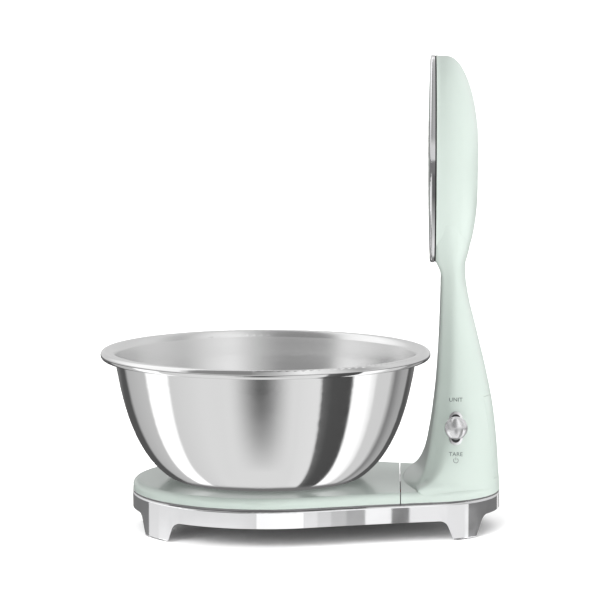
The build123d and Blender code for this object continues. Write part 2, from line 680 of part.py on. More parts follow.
with BuildPart() as column_cavity:
    add(base_face(TRIM_TOP, PLATE_INSET + SHELL_T, (DECK_SPAN[0] + SHELL_T, DECK_SPAN[1])))
    extrude(amount=PLATE_TOP - SHELL_T - TRIM_TOP)
    loft(column_faces(SHELL_T))
    loft(head_faces(SHELL_T))
    with Locations(*[(x, y, CHASSIS_TOP) for x, y in mirrored(COLUMN_SCREWS)]):
        Cylinder(BOSS_R, BOSS_H, align=UP, mode=Mode.SUBTRACT)
    for side in (-1, 1):
        rib = (side * RIB_Y - RIB_T / 2, side * RIB_Y + RIB_T / 2)
        block((COLUMN_SCREWS[1][0], BASE_END), rib, (TRIM_TOP, CHASSIS_TOP + BOSS_H), mode=Mode.SUBTRACT)
    with BuildSketch(yz_plane(FACE_X)):
        with Locations(*HEAD_POINTS):
            Circle(HEAD_BOSS_R)
    extrude(amount=HEAD_DEPTH, mode=Mode.SUBTRACT)

with BuildPart() as column_shell:
    add(base_face(TRIM_TOP, PLATE_INSET, DECK_SPAN))
    extrude(amount=PLATE_TOP - TRIM_TOP)
    rim = column_shell.edges().group_by(Axis.Z)[-1]
    fillet(rim - [rim.sort_by(Axis.X)[0]], radius=SHOULDER)
    loft(column_faces(0.0))
    loft(head_faces(0.0))
    block((0, 2 * BASE_END), pair(2 * BASE_R), (0, TRIM_TOP), mode=Mode.SUBTRACT)
    block((0, FACE_X), pair(2 * BASE_R), (NECK_Z, 2 * HEAD_Z), mode=Mode.SUBTRACT)
    add(column_cavity, mode=Mode.SUBTRACT)

with BuildPart() as column_housing:
    add(column_shell)
    block(DOOR_X, pair(DOOR_HALF), DOOR_Z, mode=Mode.SUBTRACT)
    extrude(lever_oval(SLOT_RIM, LEVER_REACH), amount=-LEVER_REACH - SLEEVE_DEPTH, mode=Mode.SUBTRACT)
    with Locations(*[(x, y, CHASSIS_TOP) for x, y in mirrored(COLUMN_SCREWS)]):
        Cylinder(BOSS_R, TRIM_TOP - CHASSIS_TOP + SHELL_T, align=UP)
        Cylinder(SCREW_R, COLUMN_THREAD, align=UP, mode=Mode.SUBTRACT)
    with BuildSketch(yz_plane(FACE_X)):
        with Locations(*HEAD_POINTS):
            Circle(SCREW_R)
    extrude(amount=DISPLAY_SCREW_L, mode=Mode.SUBTRACT)
save(column_housing, "column_housing")

with BuildPart() as battery_door:
    add(column_shell)
    door_z = (DOOR_Z[0] + DOOR_GAP, DOOR_Z[1] - DOOR_GAP)
    block(DOOR_X, pair(DOOR_HALF - DOOR_GAP), door_z, mode=Mode.INTERSECT)
    with Locations((BASE_END + NOTCH[0] - NOTCH[1], 0, door_z[0])):
        Cylinder(NOTCH[0], NOTCH[0], align=UP, mode=Mode.SUBTRACT)
save(battery_door, "battery_door")

# ------------------------------------------------------------------------- head

DOME_R = HEAD_A**2 / (2 * FACE_SAG)


def dome(front):
    """Trim the current part to the head's slightly domed front."""
    with Locations((front + DOME_R, 0, HEAD_Z)):
        Sphere(DOME_R, mode=Mode.INTERSECT)


with BuildPart() as display_gasket:
    extrude(front_ellipse(GASKET[0], BEZEL_BACK), amount=FACE_X - BEZEL_BACK)
    extrude(front_ellipse(GASKET[1], BEZEL_BACK), amount=FACE_X - BEZEL_BACK, mode=Mode.SUBTRACT)
save(display_gasket, "display_gasket")

with BuildPart() as display_bezel:
    extrude(front_ellipse(PAD_GAP, BEZEL_BACK), amount=-BEZEL_DEPTH)
    dome(FACE_FRONT)
    front_edges = display_bezel.edges().filter_by(lambda edge: edge.center().X < FACE_BACK)
    fillet(front_edges, radius=BEZEL_ROUND)
    extrude(front_ellipse(BEZEL_T, BEZEL_BACK), amount=-BEZEL_DEPTH, mode=Mode.SUBTRACT)
save(display_bezel, "display_bezel")


def window(size, x):
    """Upright window about the display's middle, facing +X at x."""
    with BuildSketch(yz_plane(x)) as face:
        with Locations((0, LENS_Z)):
            RectangleRounded(*size, radius=WINDOW_ROUND)
    return face.sketch


with BuildPart() as display_face:
    extrude(front_ellipse(BEZEL_T, FACE_BACK), amount=-BEZEL_DEPTH)
    dome(FACE_FRONT + FACE_STEP)
    extrude(window(LENS_SIZE, FACE_BACK), amount=-BEZEL_DEPTH, mode=Mode.SUBTRACT)
save(display_face, "display_face")

with BuildPart() as display_lens:
    extrude(window(LENS_SIZE, FACE_BACK), amount=-BEZEL_DEPTH)
    dome(FACE_FRONT + LENS_STEP)
save(display_lens, "display_lens")

with BuildPart() as display_carrier:
    extrude(front_ellipse(CARRIER_INSET, FACE_BACK), amount=FACE_X - FACE_BACK)
    with BuildSketch(yz_plane(FACE_X)):
        with Locations(*BOARD_POINTS):
            Circle(SMALL_SCREW[1])
    extrude(amount=DISPLAY_PCB_X - FACE_X)
    extrude(window(LCD_SIZE, FACE_BACK), amount=LCD_BACK - FACE_BACK, mode=Mode.SUBTRACT)
    with BuildSketch(yz_plane(FACE_BACK)):
        with Locations(*HEAD_POINTS):
            Circle(SCREW_HEAD_R)
    extrude(amount=SCREW_HEAD_H, mode=Mode.SUBTRACT)
    with BuildSketch(yz_plane(FACE_BACK)):
        with Locations(*HEAD_POINTS):
            Circle(SCREW_R)
        with Locations(*BOARD_POINTS):
            Circle(SMALL_SCREW[0])
    extrude(amount=DISPLAY_PCB_X - FACE_BACK, mode=Mode.SUBTRACT)
save(display_carrier, "display_carrier")

with BuildPart(Plane((FACE_BACK + SCREW_HEAD_H, 0, 0), x_dir=(0, -1, 0), z_dir=(-1, 0, 0))) as display_screws:
    with Locations(*HEAD_POINTS):
        screw(FACE_X - FACE_BACK - SCREW_HEAD_H + DISPLAY_SCREW_L)
save(display_screws, "display_screws")

with BuildPart() as lcd_module:
    extrude(window(LCD_SIZE, FACE_BACK), amount=LCD_BACK - FACE_BACK)
save(lcd_module, "lcd_module")

with BuildPart() as display_pcb:
    with BuildSketch(yz_plane(DISPLAY_PCB_X)):
        with Locations((0, LENS_Z)):
            Rectangle(*DISPLAY_PCB[:2])
        with Locations(*BOARD_POINTS):
            Circle(SMALL_SCREW[0], mode=Mode.SUBTRACT)
    extrude(amount=DISPLAY_PCB[2])
save(display_pcb, "display_pcb")

with BuildPart(yz_plane(DISPLAY_PCB_X + DISPLAY_PCB[2])) as display_pcb_screws:
    with Locations(*BOARD_POINTS):
        screw(DISPLAY_PCB_X + DISPLAY_PCB[2] - FACE_BACK - STOP_GAP, *SMALL_SCREW)
save(display_pcb_screws, "display_pcb_screws")

# ------------------------------------------------------------------------ lever

# lever's own frame at the pivot: x outwards, y down the wall, z along the hinge
LEVER_FRAME = Plane(PIVOT, x_dir=LEVER_OUT, z_dir=(1, 0, 0))
ALONG = (0, 90, 0)

with BuildPart() as lever_bezel:
    loft(column_faces(-RIM_STAND, *RIM_LEVELS))
    extrude(lever_oval(SLOT_RIM, -SHELL_T), amount=2 * SHELL_T, mode=Mode.INTERSECT)
    extrude(lever_oval(SLEEVE, -SLEEVE_DEPTH), amount=SLEEVE_DEPTH - SHELL_T)
    extrude(lever_oval(SLOT_SIZE, -SLEEVE_DEPTH), amount=SLEEVE_DEPTH + SHELL_T, mode=Mode.SUBTRACT)
save(lever_bezel, "lever_bezel")

with BuildPart(LEVER_FRAME) as lever_knob:
    with Locations((LEVER_DEPTH + LEVER_REACH, 0, 0)):
        Sphere(BALL_R)
    Cylinder(ARM_R, LEVER_DEPTH + LEVER_REACH, rotation=ALONG, align=UP, mode=Mode.SUBTRACT)
save(lever_knob, "lever_knob")

with BuildPart(LEVER_FRAME) as lever_arm:
    Cylinder(ARM_R, LEVER_DEPTH + LEVER_REACH, rotation=ALONG, align=UP)
    Cylinder(HUB_R, 2 * HUB_HALF)
    block((-FORK_REACH[1], 0), pair(FORK_HALF), pair(FORK_T))
    block((-FORK_REACH[1], -FORK_REACH[0]), pair(FORK_SLOT), pair(FORK_T), mode=Mode.SUBTRACT)
    Cylinder(PIVOT_R + PIVOT_PLAY, 2 * HUB_HALF, mode=Mode.SUBTRACT)
save(lever_arm, "lever_arm")

with BuildPart(LEVER_FRAME) as lever_pivot_pin:
    Cylinder(PIVOT_R, 2 * (CHEEK_IN + CHEEK_T))
save(lever_pivot_pin, "lever_pivot_pin")

with BuildPart(LEVER_FRAME) as lever_bracket:
    block(BRACKET_FRONT, pair(BRACKET_HALF), pair(CHEEK_IN + CHEEK_T))
    block((SWITCH_X[0], BRACKET_FRONT[0]), pair(CHEEK_HALF), pair(CHEEK_IN + CHEEK_T))
    block((SWITCH_X[0], BRACKET_FRONT[0]), pair(CHEEK_HALF), pair(CHEEK_IN), mode=Mode.SUBTRACT)
    Cylinder(PIVOT_R, 2 * (CHEEK_IN + CHEEK_T), mode=Mode.SUBTRACT)
    extrude(lever_oval(SLEEVE, -LEVER_DEPTH), amount=LEVER_DEPTH, mode=Mode.SUBTRACT)
save(lever_bracket, "lever_bracket")

with BuildPart() as lever_spring:
    with BuildLine() as wire:
        end = PIVOT - Vector(SPRING_SIDE, 0, 0)
        coil = Helix(SPRING_PITCH, SPRING_TURNS * SPRING_PITCH, SPRING_R, end, (1, 0, 0))
        Line(coil @ 1, (coil @ 1) + (coil % 1) * SPRING_LEG)
        leg = Line((coil @ 0) - (coil % 0) * SPRING_LEG, coil @ 0)
    with BuildSketch(Plane(leg @ 0, z_dir=coil % 0)):
        Circle(SPRING_WIRE)
    sweep(path=wire.line)
save(lever_spring, "lever_spring")

with BuildPart(LEVER_FRAME) as switch_body:
    block(SWITCH_X, pair(SWITCH_HALF), pair(CHEEK_IN - PAD_GAP))
    cavity_x = (SLIDER_X[0] - PLAY, SLIDER_X[1] + PLAY)
    block(cavity_x, pair(CAVITY_HALF), pair(SLIDER_Z + PLAY), mode=Mode.SUBTRACT)
    block((SLIDER_X[1], SWITCH_X[1]), pair(MOUTH_HALF), pair(STEM[1] + PLAY), mode=Mode.SUBTRACT)
save(switch_body, "switch_body")

with BuildPart(LEVER_FRAME) as switch_slider:
    block(SLIDER_X, pair(SLIDER_HALF), pair(SLIDER_Z))
    block((SLIDER_X[1], -NUB_REACH), pair(STEM[0]), pair(STEM[1]))
    with Locations((-NUB_REACH, 0, 0)):
        Cylinder(NUB_R, 2 * FORK_T)
save(switch_slider, "switch_slider")

with BuildPart(LEVER_FRAME) as switch_pcb:
    board_z = (-SWITCH_PCB_HALF, CHEEK_IN + CHEEK_T)
    block((SWITCH_X[0] - BOARD_T, SWITCH_X[0]), pair(SWITCH_PCB_HALF), board_z)
save(switch_pcb, "switch_pcb")

# -------------------------------------------------------------------- batteries

CELL_YS = [(i - (CELL_COUNT - 1) / 2) * CELL_PITCH for i in range(CELL_COUNT)]
CELL_TOP = CELL_FLOOR + CELL_H
TRAY_IN = (TRAY_Z[1] + CONTACT_T, TRAY_Z[2] - CONTACT_T)

with BuildPart() as battery_tray:
    block((TRAY_X[0], TRAY_X[2]), pair(TRAY_HALF), (TRAY_Z[0], TRAY_Z[3]))
    block(TRAY_X[1:], pair(TRAY_HALF - TRAY_WALL), TRAY_Z[1:3], mode=Mode.SUBTRACT)
    for side in (-1, 1):
        foot = (side * TRAY_FOOT[0] - TRAY_FOOT[1] / 2, side * TRAY_FOOT[0] + TRAY_FOOT[1] / 2)
        block((TRAY_X[0], TRAY_FOOT_X), foot, (CHASSIS_TOP, TRAY_Z[0]))
save(battery_tray, "battery_tray")

with BuildPart() as battery_cells:
    for i, y in enumerate(CELL_YS):
        nub_up = i % 2 == 0
        body, nub = (CELL_FLOOR, CELL_TOP - NUB_H) if nub_up else (CELL_FLOOR + NUB_H, CELL_FLOOR)
        with Locations((CELL_X, y, body)):
            Cylinder(CELL_R, CELL_H - NUB_H, align=UP)
        with Locations((CELL_X, y, nub)):
            Cylinder(CELL_R / 2, NUB_H, align=UP)
save(battery_cells, "battery_cells")

with BuildPart() as battery_contacts:
    plates = [(y, TRAY_Z[1], CONTACT_PAIR) for y in (-CELL_PITCH, CELL_PITCH)]
    plates += [(0.0, TRAY_IN[1], CONTACT_PAIR)]
    plates += [(y, TRAY_IN[1], CONTACT_ONE) for y in (CELL_YS[0], CELL_YS[3])]
    for y, z, half in plates:
        block(CONTACT_X, (y - half, y + half), (z, z + CONTACT_T))
    for i, y in enumerate(CELL_YS):
        bump = (CELL_TOP, TRAY_IN[1]) if i % 2 == 0 else (TRAY_IN[0], CELL_FLOOR)
        with Locations((COIL_X, y, bump[0])):
            Cylinder(BUMP_R, bump[1] - bump[0], align=UP)
save(battery_contacts, "battery_contacts")

with BuildPart() as battery_springs:
    for i, y in enumerate(CELL_YS):
        low = (TRAY_IN[0] if i % 2 == 0 else CELL_TOP) + COIL_WIRE
        with BuildLine(Plane((COIL_X, y, low))) as wire:
            coil = Helix(COIL_PITCH, COIL_TURNS * COIL_PITCH, COIL_R)
        with BuildSketch(Plane(coil @ 0, z_dir=coil % 0)):
            Circle(COIL_WIRE)
        sweep(path=wire.line)
save(battery_springs, "battery_springs")

# -------------------------------------------------------------- boards and wires

BOARD_TOP = BOARD_Z + BOARD_T

with BuildPart() as main_pcb:
    block(BOARD_X, pair(BOARD_HALF), (BOARD_Z, BOARD_TOP))
    with Locations(*[(x, y, BOARD_Z) for x, y in mirrored(BOARD_POSTS)]):
        Cylinder(SCREW_R, BOARD_T, align=UP, mode=Mode.SUBTRACT)
    for x, y, length, width, height in CHIPS:
        block((x, x + length), (y, y + width), (BOARD_TOP, BOARD_TOP + height))
save(main_pcb, "main_pcb")

with BuildPart(Plane.XY.offset(BOARD_TOP)) as main_pcb_screws:
    with Locations(*mirrored(BOARD_POSTS)):
        screw(BOARD_TOP - CHASSIS_TOP)
save(main_pcb_screws, "main_pcb_screws")

with BuildPart(Plane((*BUZZER_AT, BOARD_TOP))) as buzzer:
    Cylinder(*BUZZER, align=UP)
    Cylinder(SCREW_R, BUZZER[1], align=UP, mode=Mode.SUBTRACT)
save(buzzer, "buzzer")

with BuildPart() as display_ribbon:
    with BuildSketch(Plane((0, RIBBON_Y[1], 0), x_dir=(1, 0, 0), z_dir=(0, -1, 0))):
        with BuildLine():
            top = (DISPLAY_PCB_X + DISPLAY_PCB[2], RIBBON_TOP)
            FilletPolyline((RIBBON_X, BOARD_TOP), (RIBBON_X, RIBBON_TOP), top, radius=RIBBON_BEND)
            offset(amount=RIBBON_T, side=Side.RIGHT)
        make_face()
    extrude(amount=RIBBON_Y[1] - RIBBON_Y[0])
save(display_ribbon, "display_ribbon")

with BuildPart() as battery_leads:
    for y in LEAD_YS:
        with BuildLine() as route:
            corners = ((LEAD_X, y, BOARD_TOP), (LEAD_X, y, LEAD_Z), (TRAY_X[0], y, LEAD_Z))
            FilletPolyline(*corners, radius=LEAD_BEND)
        with BuildSketch(Plane.XY.offset(BOARD_TOP)):
            with Locations((LEAD_X, y)):
                Circle(WIRE_R)
        sweep(path=route.line)
save(battery_leads, "battery_leads")

with BuildPart() as load_cell_cable:
    with BuildSketch(yz_plane(BOARD_X[0])):
        with Locations((CABLE_Y, BOARD_Z + BOARD_T / 2)):
            Circle(CABLE_R)
    extrude(amount=BOWL_X + CELL_BAR[0] / 2 - BOARD_X[0])
save(load_cell_cable, "load_cell_cable")
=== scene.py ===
import json
from math import cos, pi, radians, sin

import bmesh
import bpy
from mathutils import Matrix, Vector
from mathutils.bvhtree import BVHTree


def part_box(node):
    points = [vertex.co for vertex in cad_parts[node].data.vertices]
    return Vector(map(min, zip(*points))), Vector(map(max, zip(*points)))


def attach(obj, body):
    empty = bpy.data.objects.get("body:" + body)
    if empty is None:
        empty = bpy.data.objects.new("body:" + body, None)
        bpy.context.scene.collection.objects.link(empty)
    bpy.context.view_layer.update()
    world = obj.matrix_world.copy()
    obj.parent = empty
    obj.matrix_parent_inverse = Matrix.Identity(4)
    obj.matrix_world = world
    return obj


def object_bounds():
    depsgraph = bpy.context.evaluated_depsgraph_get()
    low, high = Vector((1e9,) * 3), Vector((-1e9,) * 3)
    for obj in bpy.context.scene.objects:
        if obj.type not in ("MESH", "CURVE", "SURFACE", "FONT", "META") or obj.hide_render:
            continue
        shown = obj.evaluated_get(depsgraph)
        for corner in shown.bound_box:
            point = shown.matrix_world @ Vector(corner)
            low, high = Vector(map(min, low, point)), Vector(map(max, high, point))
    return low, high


# Kitchen scale: materials, small pieces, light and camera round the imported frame. Metres.

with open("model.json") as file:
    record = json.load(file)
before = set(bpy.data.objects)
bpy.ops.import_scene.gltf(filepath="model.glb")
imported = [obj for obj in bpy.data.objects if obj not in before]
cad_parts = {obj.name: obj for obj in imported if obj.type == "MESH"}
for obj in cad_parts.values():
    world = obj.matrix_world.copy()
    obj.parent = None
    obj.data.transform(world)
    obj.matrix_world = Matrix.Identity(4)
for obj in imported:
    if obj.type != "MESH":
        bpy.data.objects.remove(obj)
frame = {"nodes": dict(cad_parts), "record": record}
CAD_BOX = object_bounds()

JOINTS = {joint["name"]: joint for joint in frame["record"]["behaviour"]["joints"]}

PASTEL = (0.555, 0.632, 0.584)
PASTEL_DEEP = (0.540, 0.616, 0.568)
STEEL = (0.62, 0.62, 0.63)
WHITE = (1.0, 1.0, 1.0, 1.0)


# ------------------------------------------------------------------ node helpers

def node(tree, kind, links=None, **values):
    """Adds a node; values go to its properties or, with _ for a space, to its sockets."""
    made = tree.nodes.new(kind)
    for key, value in values.items():
        if hasattr(made, key):
            setattr(made, key, value)
        else:
            made.inputs[key.replace("_", " ")].default_value = value
    for socket, source in (links or {}).items():
        tree.links.new(source, made.inputs[socket])
    return made


def new_material(name, color, roughness, metallic=0.0, **sockets):
    """Principled material with its uniform values on the shader's own sockets."""
    made = bpy.data.materials.new(name)
    made.use_nodes = True
    shader = made.node_tree.nodes["Principled BSDF"]
    shader.inputs["Base Color"].default_value = (*color, 1.0)
    shader.inputs["Roughness"].default_value = roughness
    shader.inputs["Metallic"].default_value = metallic
    for key, value in sockets.items():
        shader.inputs[key.replace("_", " ")].default_value = value
    made.diffuse_color = (*color, 1.0)
    return made


def shader_of(made):
    return made.node_tree.nodes["Principled BSDF"]


def place(made):
    """Object coordinates, in metres, as a socket."""
    return node(made.node_tree, "ShaderNodeTexCoord").outputs["Object"]


def noise(made, size, detail=2.0, stretch=(1.0, 1.0, 1.0)):
    """Noise whose features are about size metres across, longer along small stretch values."""
    tree = made.node_tree
    scaled = node(tree, "ShaderNodeVectorMath", {0: place(made)}, operation="MULTIPLY")
    scaled.inputs[1].default_value = stretch
    texture = node(tree, "ShaderNodeTexNoise", {"Vector": scaled.outputs[0]}, Scale=1.0 / size, Detail=detail)
    return texture.outputs["Fac"]


# noise seldom leaves this range, so it is spread over the whole of what it drives
NOISE_LOW = 0.3
NOISE_HIGH = 0.7


def spread(made, source, low, high, bottom=NOISE_LOW, top=NOISE_HIGH):
    """Maps a noise socket to a range of numbers."""
    mapped = node(made.node_tree, "ShaderNodeMapRange", {"Value": source})
    mapped.inputs["From Min"].default_value = bottom
    mapped.inputs["From Max"].default_value = top
    mapped.inputs["To Min"].default_value = low
    mapped.inputs["To Max"].default_value = high
    return mapped.outputs["Result"]


def vary_roughness(made, source, low, high):
    made.node_tree.links.new(spread(made, source, low, high), shader_of(made).inputs["Roughness"])


def vary_color(made, source, dark, light):
    """Colour that drifts between two close tones."""
    ramp = node(made.node_tree, "ShaderNodeValToRGB", {"Fac": source})
    ramp.color_ramp.elements[0].position = NOISE_LOW
    ramp.color_ramp.elements[1].position = NOISE_HIGH
    ramp.color_ramp.elements[0].color = (*dark, 1.0)
    ramp.color_ramp.elements[1].color = (*light, 1.0)
    made.node_tree.links.new(ramp.outputs["Color"], shader_of(made).inputs["Base Color"])


def bump(made, source, height):
    """Relief of the given height in metres."""
    relief = node(made.node_tree, "ShaderNodeBump", {"Height": source}, Strength=1.0, Distance=height)
    made.node_tree.links.new(relief.outputs["Normal"], shader_of(made).inputs["Normal"])


def ring_coordinates(made, centre):
    """Two vector sockets for spun metal: distance from a vertical axis with height, and the way out."""
    tree = made.node_tree
    shifted = node(tree, "ShaderNodeVectorMath", {0: place(made)}, operation="SUBTRACT")
    shifted.inputs[1].default_value = (centre[0], centre[1], 0.0)
    flat = node(tree, "ShaderNodeVectorMath", {0: shifted.outputs[0]}, operation="MULTIPLY")
    flat.inputs[1].default_value = (1.0, 1.0, 0.0)
    length = node(tree, "ShaderNodeVectorMath", {0: flat.outputs[0]}, operation="LENGTH")
    parts = node(tree, "ShaderNodeSeparateXYZ", {0: place(made)})
    joined = node(tree, "ShaderNodeCombineXYZ", {"X": length.outputs["Value"], "Z": parts.outputs["Z"]})
    return joined.outputs[0], flat.outputs[0]


# --------------------------------------------------------------------- materials

def pastel_paint(name, roughness):
    """Pastel lacquer: smooth, with a faint orange peel."""
    made = new_material(name, PASTEL, roughness, Coat_Weight=0.35, Coat_Roughness=0.08)
    vary_color(made, noise(made, size=0.05), PASTEL_DEEP, PASTEL)
    vary_roughness(made, noise(made, size=0.012), roughness - 0.005, roughness + 0.005)
    bump(made, noise(made, size=0.0024), height=0.0000004)
    return made


def chrome(name, roughness=0.06, wave=0.000002):
    made = new_material(name, (0.86, 0.86, 0.87), roughness, metallic=1.0)
    vary_roughness(made, noise(made, size=0.006), 0.8 * roughness, 1.2 * roughness)
    bump(made, noise(made, size=0.014), wave)
    return made


def metal(name, color, roughness, stretch=(1.0, 1.0, 1.0)):
    """Plain metal with drawn or milled grain along one direction."""
    made = new_material(name, color, roughness, metallic=1.0)
    grain = noise(made, size=0.0006, detail=3.0, stretch=stretch)
    vary_roughness(made, grain, roughness - 0.08, roughness + 0.08)
    bump(made, grain, height=0.00001)
    return made


def moulded(name, color, roughness, grain=0.0004, height=0.00002, **sockets):
    """Moulded plastic or rubber with a fine spark-eroded grain."""
    made = new_material(name, color, roughness, **sockets)
    vary_color(made, noise(made, size=0.004), tuple(0.85 * c for c in color), tuple(1.1 * c for c in color))
    bump(made, noise(made, size=grain, detail=4.0), height)
    return made


SPIN_SCALE = 2500.0         # noise scale of the satin's turning lines
FLOOR_FACING = 0.999        # faces turned up this squarely are the bowl's flat floor


def bowl_metal(name, centre):
    """Spun stainless steel: mirror outside, satin inside, told apart by which way the wall faces."""
    made = new_material(name, (0.80, 0.80, 0.80), 0.1, metallic=1.0, Anisotropic=0.35)
    tree = made.node_tree
    rings, radial = ring_coordinates(made, centre)
    normal = node(tree, "ShaderNodeNewGeometry").outputs["Normal"]
    outwards = node(tree, "ShaderNodeVectorMath", {0: normal, 1: radial}, operation="DOT_PRODUCT")
    level = node(tree, "ShaderNodeSeparateXYZ", {0: normal}).outputs["Z"]
    inside = node(tree, "ShaderNodeMath", {0: outwards.outputs["Value"]}, operation="LESS_THAN")
    inside.inputs[1].default_value = 0.0
    up = node(tree, "ShaderNodeMath", {0: level}, operation="GREATER_THAN")
    up.inputs[1].default_value = FLOOR_FACING
    either = node(tree, "ShaderNodeMath", {0: inside.outputs[0], 1: up.outputs[0]}, operation="MAXIMUM")
    satin_side = either.outputs[0]
    lines = node(tree, "ShaderNodeTexNoise", {"Vector": rings}, Scale=SPIN_SCALE, Detail=2.0).outputs["Fac"]
    satin = spread(made, lines, low=0.20, high=0.25)
    mirror = spread(made, noise(made, size=0.008), low=0.05, high=0.08)
    mixed = node(tree, "ShaderNodeMix", {"Factor": satin_side, "A": mirror, "B": satin})
    tree.links.new(mixed.outputs[0], shader_of(made).inputs["Roughness"])
    relief = node(tree, "ShaderNodeMath", {0: lines, 1: satin_side}, operation="MULTIPLY").outputs[0]
    bump(made, relief, height=0.0000015)
    tangent = node(tree, "ShaderNodeTangent", direction_type="RADIAL", axis="Z")
    tree.links.new(tangent.outputs[0], shader_of(made).inputs["Tangent"])
    return made


def board(name):
    """Printed circuit board: solder mask over faint copper tracks."""
    made = new_material(name, (0.02, 0.13, 0.05), 0.32, Coat_Weight=0.4)
    tree = made.node_tree
    tracks = node(tree, "ShaderNodeTexBrick", {"Vector": place(made)}, Scale=160.0)
    tracks.inputs["Color1"].default_value = (0.015, 0.11, 0.04, 1.0)
    tracks.inputs["Color2"].default_value = (0.02, 0.15, 0.06, 1.0)
    tracks.inputs["Mortar"].default_value = (0.05, 0.24, 0.10, 1.0)
    tree.links.new(tracks.outputs["Color"], shader_of(made).inputs["Base Color"])
    bump(made, tracks.outputs["Fac"], height=0.00003)
    return made


# where the sleeve's dark body, its copper band and the top nub start, as shares of the height
BODY_START = 0.03
COPPER_START = 0.74
NUB_START = 0.97


def cell_sleeve(name, low, high):
    """Battery sleeve: dark body, copper-coloured band at the top, bare metal nubs."""
    made = new_material(name, (0.03, 0.03, 0.035), 0.3, metallic=0.4)
    tree = made.node_tree
    height = node(tree, "ShaderNodeSeparateXYZ", {0: place(made)}).outputs["Z"]
    ramp = node(tree, "ShaderNodeValToRGB", {"Fac": spread(made, height, 0.0, 1.0, low, high)})
    ramp.color_ramp.interpolation = "CONSTANT"
    ramp.color_ramp.elements[0].color = (0.55, 0.55, 0.56, 1.0)
    ramp.color_ramp.elements[1].position = BODY_START
    ramp.color_ramp.elements[1].color = (0.03, 0.03, 0.035, 1.0)
    copper = ramp.color_ramp.elements.new(COPPER_START)
    copper.color = (0.52, 0.25, 0.09, 1.0)
    nub = ramp.color_ramp.elements.new(NUB_START)
    nub.color = (0.55, 0.55, 0.56, 1.0)
    tree.links.new(ramp.outputs["Color"], shader_of(made).inputs["Base Color"])
    bump(made, noise(made, size=0.002), height=0.00001)
    return made


def flat_cable(name):
    """Film cable with its conductors showing as stripes."""
    made = new_material(name, (0.72, 0.70, 0.62), 0.4)
    tree = made.node_tree
    stripes = node(tree, "ShaderNodeTexWave", {"Vector": place(made)}, bands_direction="Y", Scale=320.0)
    ramp = node(tree, "ShaderNodeValToRGB", {"Fac": stripes.outputs["Fac"]})
    ramp.color_ramp.elements[0].color = (0.45, 0.42, 0.36, 1.0)
    ramp.color_ramp.elements[1].color = (0.80, 0.78, 0.72, 1.0)
    tree.links.new(ramp.outputs["Color"], shader_of(made).inputs["Base Color"])
    bump(made, stripes.outputs["Fac"], height=0.00002)
    return made


def lens_glass(name):
    made = new_material(name, (0.40, 0.42, 0.42), 0.04, IOR=1.49, Transmission_Weight=0.95)
    bump(made, noise(made, size=0.02), height=0.000004)
    return made


# ------------------------------------------------------------ materials on the frame

bowl_centre = [(low + high) / 2 for low, high in zip(*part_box("bowl"))]
cells_low, cells_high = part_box("battery_cells")

PLATE_PAINT = pastel_paint("pastel_lacquer", roughness=0.26)
SHELL_PAINT = pastel_paint("pastel_shell", roughness=0.34)
CHROME = chrome("chrome")
BLACK = moulded("black_plastic", (0.025, 0.025, 0.027), roughness=0.55)
RUBBER = moulded("black_rubber", (0.02, 0.02, 0.02), roughness=0.8, grain=0.0008, height=0.00005)
SCREW_STEEL = metal("screw_steel", STEEL, roughness=0.35)
PLATE_STEEL = metal("plate_steel", (0.58, 0.58, 0.59), roughness=0.42, stretch=(0.05, 1.0, 1.0))
BAR_METAL = metal("milled_aluminium", (0.76, 0.76, 0.77), roughness=0.36, stretch=(0.05, 1.0, 1.0))
SPRING_WIRE = metal("spring_wire", (0.50, 0.50, 0.52), roughness=0.3)
BOARD = board("solder_mask")
WIRE = moulded("wire_insulation", (0.35, 0.02, 0.02), roughness=0.5)
WHITE_PLASTIC = moulded("white_plastic", (0.72, 0.72, 0.70), roughness=0.45)
LCD_DARK = moulded("lcd_dark", (0.02, 0.023, 0.022), roughness=0.25)
LEGEND = moulded("legend_ink", (0.16, 0.19, 0.18), roughness=0.5)
SEGMENT = moulded("lcd_segment", (0.62, 0.68, 0.64), roughness=0.5, Emission_Strength=2.5)
shader_of(SEGMENT).inputs["Emission Color"].default_value = (0.80, 0.95, 0.88, 1.0)

LOOKS = {
    "bowl": bowl_metal("bowl_steel", bowl_centre),
    "weighing_platform": PLATE_PAINT,
    "column_housing": SHELL_PAINT,
    "battery_door": SHELL_PAINT,
    "display_face": PLATE_PAINT,
    "platform_trim": CHROME,
    "deck_trim": CHROME,
    "base_ring": CHROME,
    "display_bezel": CHROME,
    "lever_bezel": CHROME,
    "lever_knob": chrome("satin_chrome", roughness=0.30, wave=0.0000005),
    "foot_pads": RUBBER,
    "display_gasket": RUBBER,
    "display_lens": lens_glass("lens_glass"),
    "lcd_module": LCD_DARK,
    "load_cell": BAR_METAL,
    "load_cell_spacer": BAR_METAL,
    "platform_spacer": BAR_METAL,
    "platform_carrier": PLATE_STEEL,
    "battery_contacts": PLATE_STEEL,
    "lever_arm": PLATE_STEEL,
    "lever_pivot_pin": SCREW_STEEL,
    "lever_spring": SPRING_WIRE,
    "battery_springs": SPRING_WIRE,
    "battery_cells": cell_sleeve("cell_sleeve", cells_low[2], cells_high[2]),
    "main_pcb": BOARD,
    "display_pcb": BOARD,
    "switch_pcb": BOARD,
    "display_ribbon": flat_cable("film_cable"),
    "load_cell_cable": WIRE,
    "battery_leads": WIRE,
    "switch_slider": WHITE_PLASTIC,
}


def dress(name, made):
    """Gives a CAD node its finished material."""
    materials = frame["nodes"][name].data.materials
    if not materials:
        materials.append(made)
    for i in range(len(materials)):
        materials[i] = made


for name in frame["nodes"]:
    dress(name, SCREW_STEEL if name.endswith("screws") else LOOKS.get(name, BLACK))


# ------------------------------------------------------------------------ pieces

